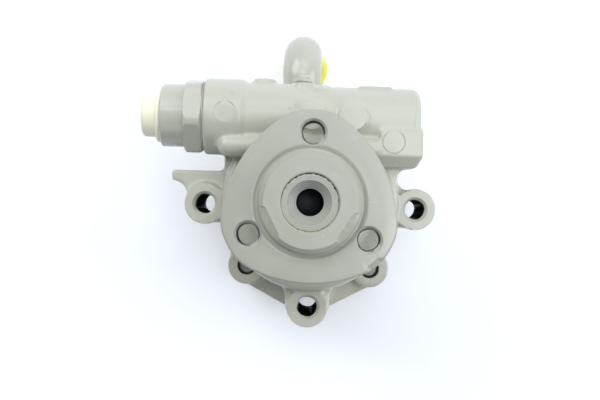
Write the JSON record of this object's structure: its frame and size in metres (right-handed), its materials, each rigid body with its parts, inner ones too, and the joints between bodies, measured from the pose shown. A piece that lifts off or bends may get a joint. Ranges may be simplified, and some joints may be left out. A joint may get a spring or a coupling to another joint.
{
  "type": "power steering pump",
  "caption": "Vane-type power steering pump with a cast body, mounting ears, cross valve housing, pressure union, suction pipe and a rounded-triangle pulley flange.",
  "frame": {"origin": "on the shaft axis, in the plane of the mounting ears' front faces", "axes": "+Z along the shaft towards the pulley, +Y towards the suction pipe, -X towards the pressure outlet"},
  "size_m": [0.0939, 0.0975, 0.079],
  "materials": {
    "painted_casting": "satin",
    "painted_steel": "satin",
    "bronze": "satin",
    "black_rubber": "matte",
    "bare_steel": "satin",
    "cream_plastic": "satin",
    "yellow_plastic": "gloss"
  },
  "bodies": {
    "body": {"housing": "painted_casting", "rear_cover": "painted_casting", "cover_bolts": "painted_steel", "cover_o_ring": "black_rubber", "dowel_pins": "bare_steel", "front_bush": "bronze", "rear_bush": "bronze", "shaft_seal": "black_rubber", "front_port_plate": "bare_steel", "port_plate_o_ring": "black_rubber", "cam_ring": "bare_steel", "outlet_union": "painted_steel", "union_seal": "painted_steel", "outlet_plug": "cream_plastic", "flow_spring": "bare_steel", "suction_pipe": "painted_steel", "pipe_o_ring": "black_rubber", "pipe_bracket": "painted_steel", "bracket_screw": "painted_steel", "suction_cap": "yellow_plastic"},
    "rotating": {"drive_shaft": "bare_steel", "rotor": "bare_steel", "rotor_circlip": "bare_steel", "pulley_flange": "painted_steel"},
    "spool": {"flow_spool": "bare_steel", "relief_seat": "bare_steel", "relief_spring": "bare_steel"},
    "ball": {"relief_ball": "bare_steel"},
    "vane_01_body": {"vane_01": "bare_steel"},
    "vane_02_body": {"vane_02": "bare_steel"},
    "vane_03_body": {"vane_03": "bare_steel"},
    "vane_04_body": {"vane_04": "bare_steel"},
    "vane_05_body": {"vane_05": "bare_steel"},
    "vane_06_body": {"vane_06": "bare_steel"},
    "vane_07_body": {"vane_07": "bare_steel"},
    "vane_08_body": {"vane_08": "bare_steel"},
    "vane_09_body": {"vane_09": "bare_steel"},
    "vane_10_body": {"vane_10": "bare_steel"}
  },
  "joints": [
    {"name": "shaft_spin", "type": "hinge", "parent": "body", "child": "rotating", "pos_m": [0, 0, 0], "axis": [0, 0, 1], "continuous": true},
    {"name": "vane_01_slide", "type": "slide", "parent": "rotating", "child": "vane_01_body", "axis": [0.9511, 0.309, 0], "range_m": [-0.0005, 0.0002]},
    {"name": "vane_02_slide", "type": "slide", "parent": "rotating", "child": "vane_02_body", "axis": [0.5878, 0.809, 0], "range_m": [-0.0005, 0.0014]},
    {"name": "vane_03_slide", "type": "slide", "parent": "rotating", "child": "vane_03_body", "axis": [0, 1, 0], "range_m": [-0.0005, 0.0022]},
    {"name": "vane_04_slide", "type": "slide", "parent": "rotating", "child": "vane_04_body", "axis": [-0.5878, 0.809, 0], "range_m": [-0.0005, 0.0014]},
    {"name": "vane_05_slide", "type": "slide", "parent": "rotating", "child": "vane_05_body", "axis": [-0.9511, 0.309, 0], "range_m": [-0.0005, 0.0002]},
    {"name": "vane_06_slide", "type": "slide", "parent": "rotating", "child": "vane_06_body", "axis": [-0.9511, -0.309, 0], "range_m": [-0.0005, 0.0002]},
    {"name": "vane_07_slide", "type": "slide", "parent": "rotating", "child": "vane_07_body", "axis": [-0.5878, -0.809, 0], "range_m": [-0.0005, 0.0014]},
    {"name": "vane_08_slide", "type": "slide", "parent": "rotating", "child": "vane_08_body", "axis": [0, -1, 0], "range_m": [-0.0005, 0.0022]},
    {"name": "vane_09_slide", "type": "slide", "parent": "rotating", "child": "vane_09_body", "axis": [0.5878, -0.809, 0], "range_m": [-0.0005, 0.0014]},
    {"name": "vane_10_slide", "type": "slide", "parent": "rotating", "child": "vane_10_body", "axis": [0.9511, -0.309, 0], "range_m": [-0.0005, 0.0002]},
    {"name": "spool_slide", "type": "slide", "parent": "body", "child": "spool", "axis": [1, 0, 0], "range_m": [0, 0.006], "stiffness_N_per_m": 4000, "springref_m": -0.005, "deforming": ["flow_spring"]},
    {"name": "relief_lift", "type": "slide", "parent": "spool", "child": "ball", "axis": [-1, 0, 0], "range_m": [0, 0.001], "stiffness_N_per_m": 2000, "springref_m": -0.001, "deforming": ["relief_spring"]}
  ]
}
